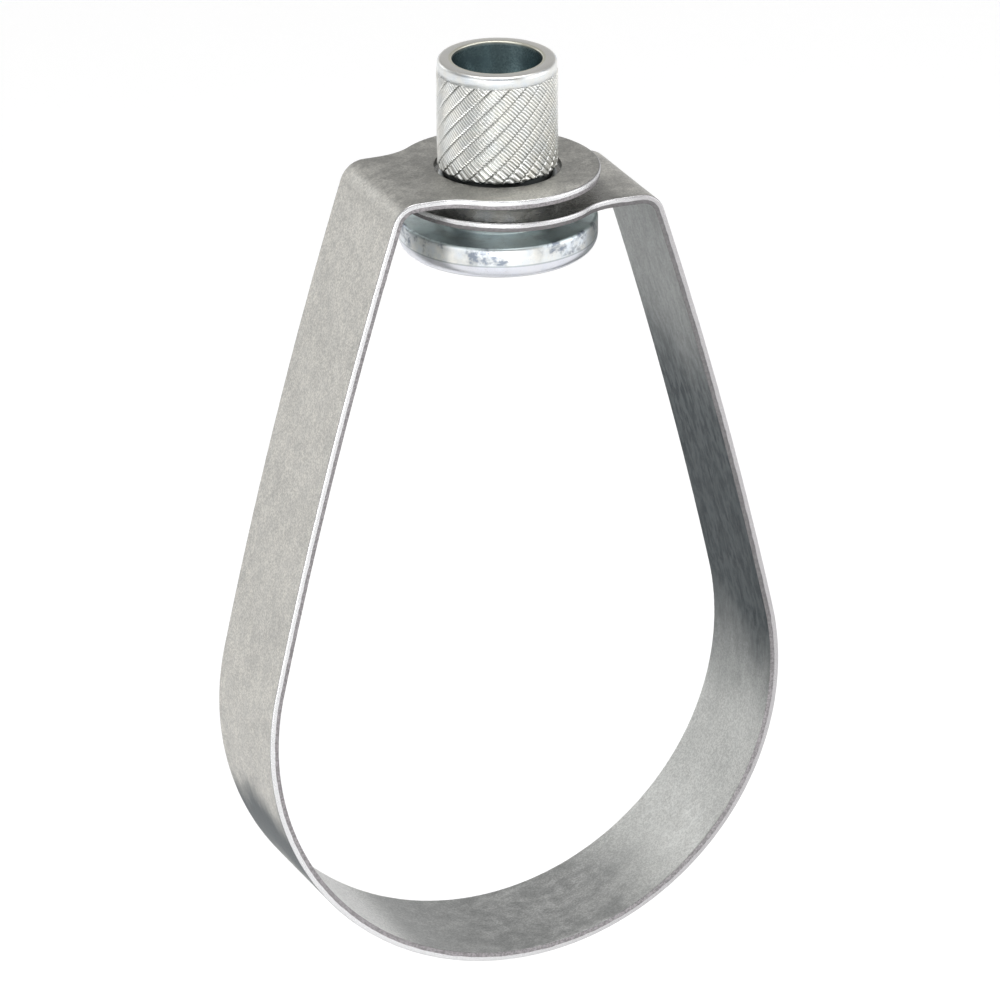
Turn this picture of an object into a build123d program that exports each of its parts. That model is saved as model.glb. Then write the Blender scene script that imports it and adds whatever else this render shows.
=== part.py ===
import os
from math import acos, asin, atan2, degrees, hypot, radians, sin, sqrt, tan

from build123d import *

# Swivel ring hanger for 2 inch pipe: a teardrop loop of galvanised strip whose two ends are pierced
# and lapped over a knurled, flanged nut that screws on to a 3/8 inch rod.
# The nut's axis is Z. Z = 0 is the top face of the nut's flange, which carries the loop's eyes.

# Strip
band_width = 15.7
band_thickness = 1.05
strip_edge_radius = 0.2

# Loop: a round seat for the pipe, then two legs that bow outward a little as they close in
loop_inner_radius = 31.0
loop_drop = 58.4
leg_bow_radius = 595.0
shoulder_run = 3.5
shoulder_bend_radius = 1.9

# Eyes at the two ends of the strip, one above the other
eye_radius = 11.7
eye_waist_radius = 7.0
lower_eye_lift = 1.45
eye_gap = 2.35
nut_clearance = 0.35

# Nut: shank and collar
nut_top = 18.75
shank_radius = 6.75
shank_root_radius = 0.5
collar_radius = 6.8
collar_height = 1.15
collar_edge_radius = 0.45

# Nut: flange, whose rim stays a little inside the eyes it carries
flange_inset = 0.3
flange_thickness = 4.05
flange_top_edge_radius = 0.45
flange_bottom_edge_radius = 1.8

# Nut: bore, with a plain lead-in above the tapped length
tapping_radius = 4.0
lead_in_radius = 5.15
lead_in_depth = 7.0
lead_in_cone_angle = 45.0
mouth_chamfer = 0.2
thread_chamfer = 0.7

# Knurl: broad helical lands with narrow grooves between them
knurl_radius = 6.9
knurl_bottom = 5.95
knurl_groove_count = 21
knurl_helix_angle = 45.0
knurl_groove_depth = 0.2
knurl_groove_angle = 90.0
knurl_end_taper = 0.3

# What follows from the sizes above
lower_eye_underside = lower_eye_lift
upper_eye_underside = lower_eye_underside + band_thickness + eye_gap
eye_hole_radius = max(knurl_radius, shank_radius) + nut_clearance
waist_reach = sqrt((eye_radius + eye_waist_radius) ** 2 - (band_width / 2 + eye_waist_radius) ** 2)
neck_reach = max(waist_reach, eye_radius) + band_thickness
# The legs' lean puts their inner faces at leg_reach from the nut's axis, level with the flange's top
leg_reach = neck_reach + shoulder_run
leg_span = hypot(leg_reach, loop_drop)
bow_offset = leg_bow_radius - loop_inner_radius
leg_lean = degrees(
    atan2(loop_drop, leg_reach)
    - acos((leg_bow_radius**2 - bow_offset**2 - leg_span**2) / (2 * bow_offset * leg_span))
)
leg_arc_height = -loop_drop - bow_offset * sin(radians(leg_lean))
lower_eye_top = lower_eye_underside + band_thickness
upper_eye_top = upper_eye_underside + band_thickness
flange_radius = eye_radius - flange_inset
lead_in_bottom = nut_top - lead_in_depth
lead_in_cone_height = (lead_in_radius - tapping_radius) / tan(radians(lead_in_cone_angle))
groove_half_width = (
    knurl_groove_depth * tan(radians(knurl_groove_angle / 2)) / sin(radians(knurl_helix_angle))
)
knurl_top = nut_top - collar_height
knurl_height = knurl_top - knurl_bottom
knurl_twist = degrees(knurl_height / (knurl_radius * tan(radians(knurl_helix_angle))))


def leg_arc_angle(height):
    """Degrees round a leg's own arc, from horizontal, at which the middle of the strip is at a height."""
    rise = height - leg_arc_height
    return degrees(asin(rise / (leg_bow_radius + band_thickness / 2)))


def corner_near(profile, radius, height):
    """The corner of a turned profile that lies nearest to a radius and a height."""
    return profile.vertices().sort_by_distance((radius, height))[0]


# Ring band: the strip's side view follows the middle of its thickness and is then given that
# thickness and its width. Each flat end widens into an eye that is pierced for the nut.
with BuildPart() as ring_band:
    with BuildSketch(Plane.XZ):
        with BuildLine() as middle:
            seat = CenterArc(
                (0, -loop_drop),
                loop_inner_radius + band_thickness / 2,
                180 - leg_lean,
                180 + 2 * leg_lean,
            )
            lower_neck = Vector(neck_reach, lower_eye_underside + band_thickness / 2)
            upper_neck = Vector(-neck_reach, upper_eye_underside + band_thickness / 2)
            right_turn = leg_arc_angle(lower_neck.Y) - leg_lean
            right_leg = JernArc(seat @ 1, seat % 1, leg_bow_radius + band_thickness / 2, right_turn)
            left_turn = leg_arc_angle(upper_neck.Y) - leg_lean
            left_leg = JernArc(seat @ 0, -(seat % 0), leg_bow_radius + band_thickness / 2, -left_turn)
            Line(right_leg @ 1, lower_neck)
            Line(left_leg @ 1, upper_neck)
            shoulders = [middle.vertices().sort_by_distance(leg @ 1)[0] for leg in (right_leg, left_leg)]
            fillet(shoulders, shoulder_bend_radius + band_thickness / 2)
            offset(amount=band_thickness / 2)
        make_face()
    extrude(amount=band_width / 2, both=True)

    for underside, leg_side in ((lower_eye_underside, 1), (upper_eye_underside, -1)):
        with BuildSketch(Plane.XY.offset(underside)) as eye_plan:
            Circle(eye_radius)
            with Locations((leg_side * neck_reach / 2, 0)):
                Rectangle(neck_reach, band_width)
            waists = [v for v in eye_plan.vertices() if 0 < leg_side * v.X < eye_radius * 0.999]
            waists = [v for v in waists if abs(Vector(v.X, v.Y).length - eye_radius) < 0.001]
            fillet(waists, eye_waist_radius)
        extrude(amount=band_thickness)

    # The slit edges and the eyes' rims are rolled over on the outer face only
    outer_bends = [r + band_thickness for r in (loop_inner_radius, leg_bow_radius, shoulder_bend_radius)]
    rolled_edges = [
        edge
        for edge in ring_band.edges().filter_by(Axis.Y, reverse=True)
        if min(abs((edge @ 0.5).Z - top) for top in (lower_eye_top, upper_eye_top)) < 0.001
        or edge.geom_type == GeomType.CIRCLE
        and min(abs(edge.radius - bend) for bend in outer_bends) < 0.001
    ]
    fillet(rolled_edges, strip_edge_radius)

    with BuildSketch(Plane.XY.offset(lower_eye_underside)):
        Circle(eye_hole_radius)
    extrude(amount=upper_eye_top - lower_eye_underside, mode=Mode.SUBTRACT)

ring_band.part.label = "ring_band"

# Swivel nut: flange, shank, knurled body and plain collar in one piece, bored and tapped
with BuildPart() as swivel_nut:
    with BuildSketch(Plane.XZ) as turned_profile:
        with BuildLine():
            Polyline(
                (0, -flange_thickness),
                (flange_radius, -flange_thickness),
                (flange_radius, 0),
                (shank_radius, 0),
                (shank_radius, knurl_bottom),
                (0, knurl_bottom),
                close=True,
            )
        make_face()
        fillet(corner_near(turned_profile, flange_radius, -flange_thickness), flange_bottom_edge_radius)
        fillet(corner_near(turned_profile, flange_radius, 0), flange_top_edge_radius)
        fillet(corner_near(turned_profile, shank_radius, 0), shank_root_radius)
    revolve(axis=Axis.Z)

    # The knurl is a notched disc drawn upward with a twist, its two ends tapered
    with BuildSketch(Plane.XY.offset(knurl_bottom), mode=Mode.PRIVATE) as knurl_section:
        Circle(knurl_radius)
        with PolarLocations(knurl_radius - knurl_groove_depth, knurl_groove_count):
            Polygon(
                (0, 0),
                (2 * knurl_groove_depth, -2 * groove_half_width),
                (2 * knurl_groove_depth, 2 * groove_half_width),
                align=None,
                mode=Mode.SUBTRACT,
            )
    add(
        Solid.extrude_linear_with_rotation(
            knurl_section.sketch.face(),
            (0, 0, knurl_bottom),
            (0, 0, knurl_height),
            knurl_twist,
        )
    )
    with BuildSketch(Plane.XZ):
        for end, way in ((knurl_bottom, 1), (knurl_top, -1)):
            with BuildLine():
                Polyline(
                    (knurl_radius - knurl_end_taper, end),
                    (knurl_radius + knurl_end_taper, end),
                    (knurl_radius + knurl_end_taper, end + way * 2 * knurl_end_taper),
                    close=True,
                )
            make_face()
    revolve(axis=Axis.Z, mode=Mode.SUBTRACT)

    with BuildSketch(Plane.XZ) as collar_profile:
        with BuildLine():
            Polyline(
                (0, knurl_top),
                (collar_radius, knurl_top),
                (collar_radius, nut_top),
                (0, nut_top),
                close=True,
            )
        make_face()
        fillet(corner_near(collar_profile, collar_radius, nut_top), collar_edge_radius)
    revolve(axis=Axis.Z)

    with BuildSketch(Plane.XZ):
        with BuildLine():
            Polyline(
                (0, -flange_thickness),
                (tapping_radius + thread_chamfer, -flange_thickness),
                (tapping_radius, -flange_thickness + thread_chamfer),
                (tapping_radius, lead_in_bottom - lead_in_cone_height),
                (lead_in_radius, lead_in_bottom),
                (lead_in_radius, nut_top - mouth_chamfer),
                (lead_in_radius + mouth_chamfer, nut_top),
                (0, nut_top),
                close=True,
            )
        make_face()
    revolve(axis=Axis.Z, mode=Mode.SUBTRACT)

swivel_nut.part.label = "swivel_nut"

os.makedirs("parts", exist_ok=True)
export_step(ring_band.part, "parts/ring_band.step")
export_step(swivel_nut.part, "parts/swivel_nut.step")
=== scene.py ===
import math

import bmesh
import bpy
import numpy as np
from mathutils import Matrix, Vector, noise


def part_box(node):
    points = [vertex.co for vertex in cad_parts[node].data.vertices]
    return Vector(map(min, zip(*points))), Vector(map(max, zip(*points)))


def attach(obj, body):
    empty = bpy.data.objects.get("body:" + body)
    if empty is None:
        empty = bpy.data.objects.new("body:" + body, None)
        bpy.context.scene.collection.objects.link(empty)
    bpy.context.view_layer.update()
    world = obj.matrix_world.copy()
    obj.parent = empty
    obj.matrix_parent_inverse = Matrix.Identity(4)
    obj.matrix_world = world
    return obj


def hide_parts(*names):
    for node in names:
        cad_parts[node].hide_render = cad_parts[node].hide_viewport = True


# Swivel ring hanger: a galvanised strip, bent to a teardrop loop, on a knurled and zinc-plated nut.
# The nut's axis is Z, and Z = 0 is the top of its flange. The pieces' dictionaries are in millimetres
# and degrees, unless a note says otherwise, and the studio's are in metres and watts.

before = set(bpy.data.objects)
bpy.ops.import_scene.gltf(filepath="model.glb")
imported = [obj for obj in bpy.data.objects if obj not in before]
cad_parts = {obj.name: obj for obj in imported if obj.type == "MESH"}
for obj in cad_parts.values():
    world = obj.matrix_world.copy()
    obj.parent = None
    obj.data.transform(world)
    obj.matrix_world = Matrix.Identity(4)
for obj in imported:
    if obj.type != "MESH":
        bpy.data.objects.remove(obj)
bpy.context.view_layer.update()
scene = bpy.context.scene
mm = 0.001
ringLow, ringHigh = [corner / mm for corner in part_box("ring_band")]
nutLow, nutHigh = [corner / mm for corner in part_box("swivel_nut")]


def addNode(tree, kind, inputs=None, **settings):
    node = tree.nodes.new(kind)
    for name, value in settings.items():
        setattr(node, name, value)
    for key, value in (inputs or {}).items():
        if isinstance(value, bpy.types.NodeSocket):
            tree.links.new(value, node.inputs[key])
        else:
            node.inputs[key].default_value = value
    return node


def calc(tree, operation, *values):
    return addNode(tree, "ShaderNodeMath", dict(enumerate(values)), operation=operation).outputs[0]


def times(tree, first, *others):
    for other in others:
        first = calc(tree, "MULTIPLY", first, other)
    return first


def plus(tree, first, *others):
    for other in others:
        first = calc(tree, "ADD", first, other)
    return first


def minus(tree, first, second):
    return calc(tree, "SUBTRACT", first, second)


def vectorCalc(tree, operation, first, second):
    return addNode(tree, "ShaderNodeVectorMath", {0: first, 1: second}, operation=operation).outputs[0]


def joinXYZ(tree, *parts):
    return addNode(tree, "ShaderNodeCombineXYZ", dict(enumerate(parts))).outputs[0]


def splitXYZ(tree, vector):
    return addNode(tree, "ShaderNodeSeparateXYZ", {0: vector}).outputs


def noiseAt(tree, where, scale, detail=2.0, roughness=0.5):
    sockets = {"Vector": where, "Scale": scale, "Detail": detail, "Roughness": roughness}
    return addNode(tree, "ShaderNodeTexNoise", sockets).outputs


def ramp(tree, value, start, end, low=0.0, high=1.0):
    sockets = {"Value": value, "From Min": start, "From Max": end, "To Min": low, "To Max": high}
    return addNode(tree, "ShaderNodeMapRange", sockets, interpolation_type="SMOOTHSTEP").outputs[0]


def tint(tree, factor, first, second):
    mix = addNode(tree, "ShaderNodeMix", {0: factor, 6: first, 7: second}, data_type="RGBA")
    return mix.outputs[2]


def openTree(name, kind, inputs, outputs):
    tree = bpy.data.node_groups.new(name, kind)
    for label, socketKind, value in inputs:
        socket = tree.interface.new_socket(label, in_out="INPUT", socket_type="NodeSocket" + socketKind)
        if value is not None:
            socket.default_value = value
    for label, socketKind in outputs:
        tree.interface.new_socket(label, in_out="OUTPUT", socket_type="NodeSocket" + socketKind)
    return tree, addNode(tree, "NodeGroupInput").outputs, addNode(tree, "NodeGroupOutput").inputs


# Zinc's cloudy patches, drawn out along the first axis of the vector, 0 dark to 1 light
patches, given, made = openTree(
    "zincPatches",
    "ShaderNodeTree",
    [
        ("Vector", "Vector", None),
        ("Patch Size", "Float", 2.0),
        ("Stretch", "Float", 1.0),
        ("Contrast", "Float", 0.2),
    ],
    [("Patch", "Float")],
)
squeeze = joinXYZ(patches, calc(patches, "DIVIDE", 1.0, given["Stretch"]), 1.0, 1.0)
drawn = vectorCalc(patches, "MULTIPLY", given["Vector"], squeeze)
perPatch = calc(patches, "DIVIDE", 1.0, given["Patch Size"])
cloud = noiseAt(patches, drawn, perPatch, detail=5.0, roughness=0.62)
lowEnd = minus(patches, 0.5, given["Contrast"])
highEnd = plus(patches, 0.5, given["Contrast"])
patches.links.new(ramp(patches, cloud["Fac"], lowEnd, highEnd), made["Patch"])

# A fine matt grain with scattered pits: Height for a bump, Pit and Tone for colour
grainShape = {
    "crowdScale": 0.16,
    "crowdFrom": (0.35, 0.65),
    "crowding": (0.45, 1.55),  # what the share of pits is multiplied by, where sparse and where crowded
    "pitEdge": (0.12, 0.42),
    "toneFrom": (0.36, 0.64),
}
grain, given, made = openTree(
    "zincGrain",
    "ShaderNodeTree",
    [
        ("Vector", "Vector", None),
        ("Grain Size", "Float", 0.15),
        ("Pit Spacing", "Float", 0.6),
        ("Pit Share", "Float", 0.3),
    ],
    [("Height", "Float"), ("Pit", "Float"), ("Tone", "Float")],
)
perGrain = calc(grain, "DIVIDE", 1.0, given["Grain Size"])
fine = noiseAt(grain, given["Vector"], perGrain, detail=2.0, roughness=0.55)
# Each place is stretched by the fine noise, which scatters the cells
stretching = {0: fine["Color"], 1: given["Vector"], 2: given["Vector"]}
scattered = addNode(grain, "ShaderNodeVectorMath", stretching, operation="MULTIPLY_ADD").outputs[0]
perCell = {"Vector": scattered, "Scale": calc(grain, "DIVIDE", 1.0, given["Pit Spacing"])}
cells = addNode(grain, "ShaderNodeTexVoronoi", perCell).outputs
pick = addNode(grain, "ShaderNodeSeparateColor", {0: cells["Color"]}).outputs[0]
crowd = noiseAt(grain, given["Vector"], grainShape["crowdScale"])["Fac"]
crowding = ramp(grain, crowd, *grainShape["crowdFrom"], *grainShape["crowding"])
share = times(grain, given["Pit Share"], crowding)
chosen = calc(grain, "LESS_THAN", pick, share)
pit = times(grain, ramp(grain, cells["Distance"], *grainShape["pitEdge"], 1.0, 0.0), chosen)
grain.links.new(pit, made["Pit"])
grain.links.new(ramp(grain, fine["Fac"], *grainShape["toneFrom"]), made["Tone"])
grain.links.new(minus(grain, fine["Fac"], pit), made["Height"])


def useGroup(tree, group, where, settings):
    return addNode(tree, "ShaderNodeGroup", {"Vector": where, **settings}, node_tree=group).outputs


def newMaterial(name, metallic):
    material = bpy.data.materials.new(name)
    material.use_nodes = True
    tree = material.node_tree
    tree.nodes.clear()
    shader = addNode(tree, "ShaderNodeBsdfPrincipled", {"Metallic": metallic})
    addNode(tree, "ShaderNodeOutputMaterial", {"Surface": shader.outputs[0]})
    return material, tree, shader


def linkLooks(tree, shader, colour, rough, bump, depth):
    sockets = {"Strength": 1.0, "Distance": depth * mm, "Height": bump}
    relief = addNode(tree, "ShaderNodeBump", sockets).outputs[0]
    for socket, value in (("Base Color", colour), ("Roughness", rough), ("Normal", relief)):
        tree.links.new(value, shader.inputs[socket])


stripFinish = {
    "light": (0.83, 0.81, 0.755, 1.0),  # outer face, warm
    "dark": (0.63, 0.62, 0.585, 1.0),
    "eyeLight": (0.62, 0.61, 0.57, 1.0),  # the flat ends, a little duller
    "eyeDark": (0.45, 0.445, 0.415, 1.0),
    "insideLight": (0.66, 0.665, 0.65, 1.0),  # inner face at the bottom of the pipe's seat
    "insideDark": (0.46, 0.47, 0.46, 1.0),
    "seatSheenLight": (0.75, 0.755, 0.73, 1.0),  # painted highlight on the seat's two sides
    "seatSheenDark": (0.61, 0.62, 0.60, 1.0),
    "seatHighlight": (0.97, 0.97, 0.95, 1.0),  # painted highlight, a patch at one side of the seat
    "legShadeLight": (0.17, 0.19, 0.195, 1.0),  # painted shade on the inner faces of the legs, darker and bluer
    "legShadeDark": (0.045, 0.056, 0.062, 1.0),
    "underShadeLight": (0.18, 0.20, 0.205, 1.0),  # painted shade on the outer face under the loop
    "underShadeDark": (0.08, 0.095, 0.10, 1.0),
    "pit": (0.13, 0.13, 0.13, 1.0),
    "burnished": (0.74, 0.74, 0.75, 1.0),  # the sheared edge's smooth part
    "torn": (0.33, 0.31, 0.32, 1.0),  # and its rough part
    # Along the strip, from the loop's lowest point
    # rubbedFrom: where the painted highlight on the seat's sides begins
    "rubbedFrom": (13.0, 20.0),
    "brightestFrom": (-13.0, -20.0),
    "brightestTo": (-33.0, -27.0),
    "belowFrom": (44.0, 37.0),
    "belowTo": (34.0, 27.0),
    "legsFrom": (36.0, 56.0),
    "legsTo": (80.0, 100.0),
    "streaksFrom": (62.0, 100.0),
    "eyesFrom": (111.0, 118.0),
    "leftFrom": (10.0, -10.0),
    "rightFrom": (-10.0, 10.0),
    "rightEdgeShadeFrom": (-20.0, 30.0),
    "farEdgeFrom": (38.0, 62.0),
    "shadeAndSheenWander": 5.0,  # how far the limits of the painted shade and highlight wander with the broad patches
    # Back from the lower eye's middle, across the strip, and through its thickness from the middle
    "coveredTo": (12.5, 10.5),
    "frontRim": (-7.5, -10.0),
    "insideFrom": (-0.1, -0.2),
    "burnishedTo": -0.02,
    "raggedBy": 0.06,
    # Along the edge mask, 0 on the faces and 1 down the sheared edge
    "cornerFrom": (0.02, 0.25),
    "cornerTo": (0.8, 0.45),
    # Patches and pits
    "cloudy": {"Patch Size": 1.2, "Stretch": 1.3, "Contrast": 0.16},
    "broad": {"Patch Size": 7.0, "Stretch": 2.0, "Contrast": 0.3},
    "streaky": {"Patch Size": 0.8, "Stretch": 2.6, "Contrast": 0.1},
    "speckle": {"Grain Size": 0.22, "Pit Spacing": 0.46, "Pit Share": 0.36},
    # How strongly each shows
    "mottleShares": (0.6, 0.4),
    "paleLeg": 0.55,  # the painted shade is fainter on the left leg's inner face and on the right side of the loop
    "paleBelow": 0.25,
    "endOfLegs": 0.55,
    "endOfBelow": 0.4,
    "legMottle": 0.4,
    "streakGain": (0.5, 1.0),
    "frontRimGain": 0.6,
    "coveredShade": 0.3,
    "toneShade": 0.3,
    "pitShade": 0.88,
    "cornerShade": 0.7,
    "farEdgeShade": 0.62,
    "rightEdgeShade": 0.6,
    "eyeEdgeShade": 0.25,  # of the edges' painted shade, round the eyes
    "tornDark": 0.45,
    "tornPale": 0.12,
    "edgeTint": (0.66, 0.66, 0.67, 1.0),  # how far a grazing look brightens the zinc
    "roughness": 0.43,
    "legRoughness": 0.6,
    "innerEyeRoughness": 0.28,  # the lower eye's face, worn smooth between the eyes
    "edgeRoughness": (0.26, 0.55),  # burnished and torn
    "roughnessSpread": 0.12,
    "grainHeight": 0.014,
}


def galvanisedStrip(f, lowest, length):
    material, tree, shader = newMaterial("galvanisedStrip", 1.0)
    shader.inputs["Specular Tint"].default_value = f["edgeTint"]
    # The blank's own place in mm: along from the upper eye's middle, across, and depth
    flat = addNode(tree, "ShaderNodeAttribute", attribute_name="flat").outputs["Vector"]
    edge = addNode(tree, "ShaderNodeAttribute", attribute_name="edge").outputs["Fac"]
    fromUpper, across, depth = splitXYZ(tree, flat)
    along = minus(tree, fromUpper, lowest)
    fromLowest = calc(tree, "ABSOLUTE", along)
    cloudy = useGroup(tree, patches, flat, f["cloudy"])["Patch"]
    broad = useGroup(tree, patches, flat, f["broad"])["Patch"]
    streaky = useGroup(tree, patches, flat, f["streaky"])["Patch"]
    speckle = useGroup(tree, grain, flat, f["speckle"])
    mottle = plus(tree, times(tree, cloudy, f["mottleShares"][0]), times(tree, broad, f["mottleShares"][1]))
    reach = plus(tree, fromLowest, times(tree, minus(tree, broad, 0.5), f["shadeAndSheenWander"]))
    eyes = ramp(tree, fromLowest, *f["eyesFrom"])
    covered = ramp(tree, fromUpper, *[length - back for back in f["coveredTo"]])
    inside = ramp(tree, depth, *f["insideFrom"])

    # Outer face
    shank = tint(tree, mottle, f["dark"], f["light"])
    outerFace = tint(tree, eyes, shank, tint(tree, mottle, f["eyeDark"], f["eyeLight"]))
    rim = times(tree, ramp(tree, across, *f["frontRim"], 0.0, f["frontRimGain"]), eyes)
    outerFace = tint(tree, times(tree, rim, ramp(tree, along, *f["leftFrom"])), outerFace, f["light"])
    # Painted shade on the lower eye's face, where the upper eye covers it
    outerFace = tint(tree, times(tree, covered, f["coveredShade"]), outerFace, f["pit"])
    # Painted shade on the outer face under the loop, strongest on the left
    below = times(
        tree,
        ramp(tree, reach, *f["belowFrom"]),
        ramp(tree, reach, *f["belowTo"], 1.0, f["endOfBelow"]),
        ramp(tree, along, *f["leftFrom"], f["paleBelow"], 1.0),
    )
    outerFace = tint(tree, below, outerFace, tint(tree, cloudy, f["underShadeDark"], f["underShadeLight"]))

    # Inner face: the pipe's seat, with painted highlight on its sides, and the legs, with painted shade
    # Painted highlight: the seat's two sides are painted lighter than its bottom
    rubbed = tint(tree, mottle, f["seatSheenDark"], f["seatSheenLight"])
    seatFace = tint(tree, mottle, f["insideDark"], f["insideLight"])
    seatFace = tint(tree, ramp(tree, reach, *f["rubbedFrom"]), seatFace, rubbed)
    # Painted highlight: a near-white patch on the seat's left side
    seatHighlight = times(tree, ramp(tree, along, *f["brightestFrom"]), ramp(tree, along, *f["brightestTo"]))
    seatFace = tint(tree, seatHighlight, seatFace, f["seatHighlight"])
    # Painted shade on the inner faces of the legs, fainter on the left leg
    onLegs = times(
        tree,
        ramp(tree, reach, *f["legsFrom"]),
        ramp(tree, reach, *f["legsTo"], 1.0, f["endOfLegs"]),
        minus(tree, 1.0, eyes),
        ramp(tree, along, *f["rightFrom"], f["paleLeg"], 1.0),
    )
    legFace = tint(tree, times(tree, cloudy, f["legMottle"]), f["legShadeDark"], f["legShadeLight"])
    streaks = times(tree, streaky, ramp(tree, reach, *f["streaksFrom"], *f["streakGain"]))
    legFace = tint(tree, streaks, legFace, f["legShadeLight"])
    innerFace = tint(tree, onLegs, seatFace, legFace)

    face = tint(tree, inside, outerFace, innerFace)
    face = tint(tree, times(tree, minus(tree, 1.0, speckle["Tone"]), f["toneShade"]), face, f["pit"])
    face = tint(tree, times(tree, speckle["Pit"], f["pitShade"]), face, f["pit"])

    # Sheared edges: burnished where the blade entered, torn below
    # Painted shade: the burnished part of the edges darkens towards the right of the strip, less round the
    # eyes
    rightEdgeShading = ramp(tree, along, *f["rightEdgeShadeFrom"], 0.0, f["rightEdgeShade"])
    worn = times(tree, rightEdgeShading, ramp(tree, eyes, 0.0, 1.0, 1.0, f["eyeEdgeShade"]))
    burnished = tint(tree, worn, f["burnished"], f["torn"])
    ragged = plus(tree, depth, times(tree, cloudy, f["raggedBy"]))
    tornPart = ramp(tree, ragged, f["burnishedTo"] + f["raggedBy"], f["burnishedTo"])
    tornDark = tint(tree, f["tornDark"], f["torn"], f["pit"])
    torn = tint(tree, speckle["Tone"], tornDark, tint(tree, f["tornPale"], f["torn"], f["burnished"]))
    # Painted shade: the torn part darkens further along the right leg
    torn = tint(tree, ramp(tree, along, *f["farEdgeFrom"], 0.0, f["farEdgeShade"]), torn, f["pit"])
    # Painted shade: a dark line where the faces meet the sheared edge
    corner = times(tree, ramp(tree, edge, *f["cornerFrom"]), ramp(tree, edge, *f["cornerTo"]))
    colour = tint(tree, edge, face, tint(tree, tornPart, burnished, torn))
    colour = tint(tree, times(tree, corner, f["cornerShade"]), colour, f["pit"])

    rough = plus(tree, f["roughness"], times(tree, minus(tree, cloudy, 0.5), f["roughnessSpread"]))
    rough = plus(tree, rough, times(tree, onLegs, inside, f["legRoughness"] - f["roughness"]))
    rough = minus(tree, rough, times(tree, covered, f["roughness"] - f["innerEyeRoughness"]))
    edgeRough = ramp(tree, tornPart, 0.0, 1.0, *f["edgeRoughness"])
    rough = addNode(tree, "ShaderNodeMix", {0: edge, 2: rough, 3: edgeRough}).outputs[0]
    linkLooks(tree, shader, colour, rough, speckle["Height"], f["grainHeight"])
    return material


platingFinish = {
    "cool": (0.70, 0.75, 0.80, 1.0),
    "warm": (0.90, 0.89, 0.84, 1.0),
    "smoky": (0.20, 0.235, 0.27, 1.0),  # duller clouds in the plating
    "flangeTop": (0.74, 0.86, 0.88, 1.0),
    "lowerBand": (0.70, 0.71, 0.78, 1.0),  # the flange's rounded lower edge
    # darkens the pits, and is painted shade in the knurl's grooves and on the flange's underside
    "grimeAndShade": (0.10, 0.105, 0.09, 1.0),
    "boreLight": (0.46, 0.56, 0.57, 1.0),
    "boreDark": (0.25, 0.32, 0.34, 1.0),
    "mouth": (0.58, 0.56, 0.36, 1.0),  # yellowed chamfer
    "rubbedTop": (0.82, 0.805, 0.76, 1.0),
    "shadow": (0.02, 0.022, 0.022, 1.0),  # painted shadow on the neck in the upper eye's hole
    "scuffed": (0.23, 0.26, 0.31, 1.0),
    # Heights from the flange's top face
    "flangeTopFrom": (-0.4, -0.05),
    "flangeTopTo": (1.0, 0.2),
    "dullFrom": (1.0, -0.5),
    # Heights from the nut's foot
    "turnAt": 1.85,  # where the flange's rim begins to turn under
    "bandFrom": (1.85, 1.75),
    "rimFrom": (1.85, 2.15),
    "underFrom": (0.6, 0.1),
    # Heights from the nut's top
    "rubbedFrom": (-0.12, -0.02),
    "mouthFrom": (-0.3, -0.2),
    "boreFrom": (-0.2, -0.5),
    # Heights from the upper eye's top
    "shadowFrom": (-1.1, -0.8),
    "shadowTo": (1.0, 0.6),
    # Radii
    "rimBeyond": (10.9, 11.2),
    "mouthWithin": (5.6, 5.4),
    "boreWithin": (5.5, 5.2),
    "neckWithin": (6.7, 6.5),
    "neckBeyond": (5.8, 6.0),
    # Off the line along the flange's rim, and along the crest attribute, 0 in a groove and 1 on a crest
    "lineFrom": (0.05, 0.13),
    "crestFrom": (0.12, 0.85),
    # Patches, pits and lines
    "cloudy": {"Patch Size": 2.2, "Stretch": 1.0, "Contrast": 0.2},
    "smoke": {"Patch Size": 5.0, "Stretch": 1.0, "Contrast": 0.14},
    "scuffs": {"Patch Size": 0.6, "Stretch": 1.8, "Contrast": 0.12},
    "scuffsFrom": (0.45, 0.8),  # only where the smoke is thick
    "speckle": {"Grain Size": 0.2, "Pit Spacing": 0.8, "Pit Share": 0.25},
    "turningLines": (9.0, 4.0, 0.7),  # scale, detail and roughness
    # How strongly each shows
    "warmCrests": 0.55,
    "grooveShade": 0.7,
    "flangeTopGain": 0.8,
    "dullGain": (0.2, 0.7),
    "lowerBandGain": 0.7,
    "lineGain": 0.5,
    "rubbedGain": 0.85,
    "mouthGain": 0.4,
    "underGain": 0.8,
    "pitGain": 0.35,
    "roughness": 0.24,
    "roughnessSpread": 0.12,
    "grainShare": 0.6,  # the grain's part of the relief, beside the turning lines
    "turningHeight": 0.006,
}


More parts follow.
